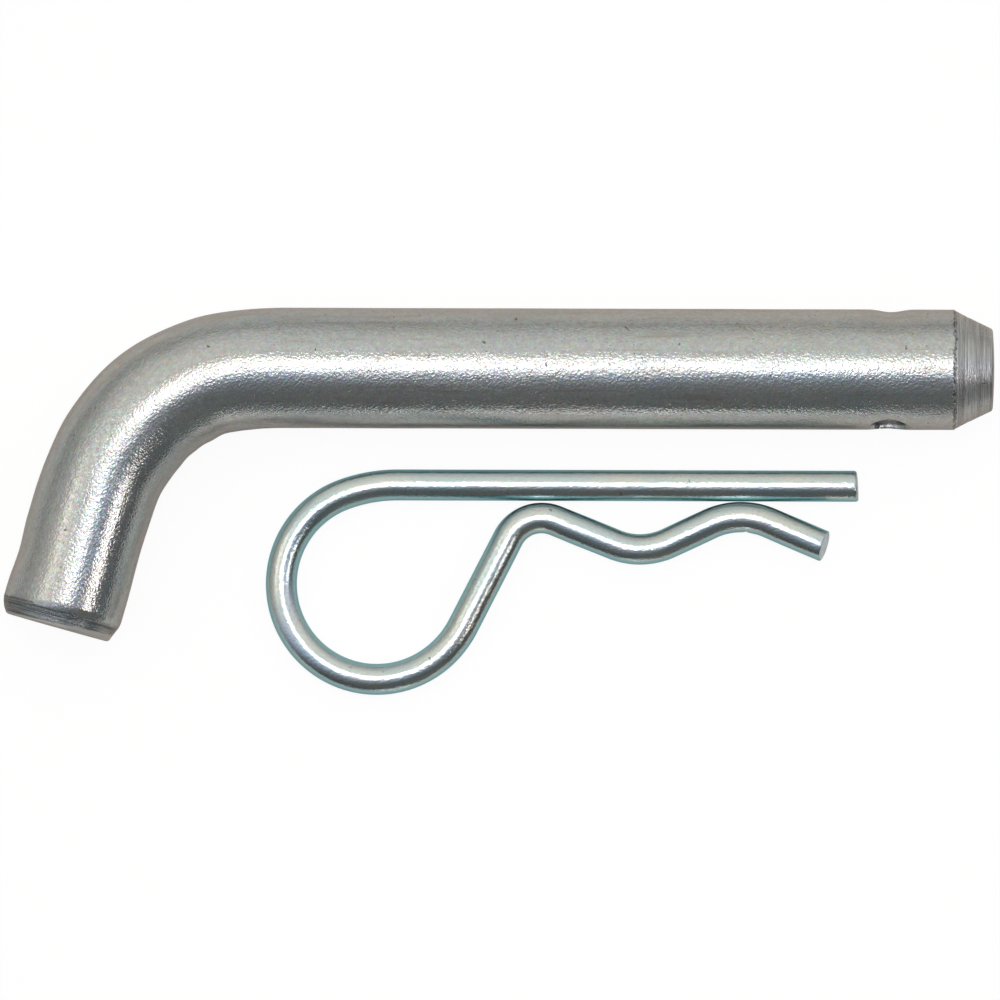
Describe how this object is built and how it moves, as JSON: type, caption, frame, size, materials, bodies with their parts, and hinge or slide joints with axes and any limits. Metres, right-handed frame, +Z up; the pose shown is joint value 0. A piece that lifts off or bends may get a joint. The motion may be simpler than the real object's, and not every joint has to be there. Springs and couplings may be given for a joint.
{
  "type": "hitch pin with spring clip",
  "caption": "Bent steel hitch pin with a tapered tip and a cross hole, and the hairpin spring clip that keeps it in place, lying side by side.",
  "frame": {"origin": "middle of the space that the pin and clip take up together, on the surface they lie on", "axes": "+X along the shank to its tapered tip, +Y from the clip to the pin, +Z up"},
  "size_m": [0.1306, 0.051, 0.0159],
  "materials": {
    "pin_zinc": "satin zinc plate on bent bar, finely speckled, with faint scuffs and warm grey rims",
    "clip_zinc": "bright zinc plate with a clear blue-green passivate on drawn spring wire"
  },
  "bodies": {
    "pin": {"hitch_pin": "pin_zinc"},
    "clip": {"clip_straight_leg": "clip_zinc"},
    "clip_leg": {"clip_spring_leg": "clip_zinc"}
  },
  "joints": [
    {"name": "clip_lift", "type": "slide", "parent": "pin", "child": "clip", "axis": [0, 0, 1], "range_m": [0, 0.06]},
    {"name": "clip_spring", "type": "hinge", "parent": "clip", "child": "clip_leg", "pos_m": [-0.02872, -0.01088, 0.00205], "axis": [0, 0, -1], "range_deg": [0, 7], "stiffness_Nm_per_rad": 50, "springref_deg": -0.57}
  ]
}
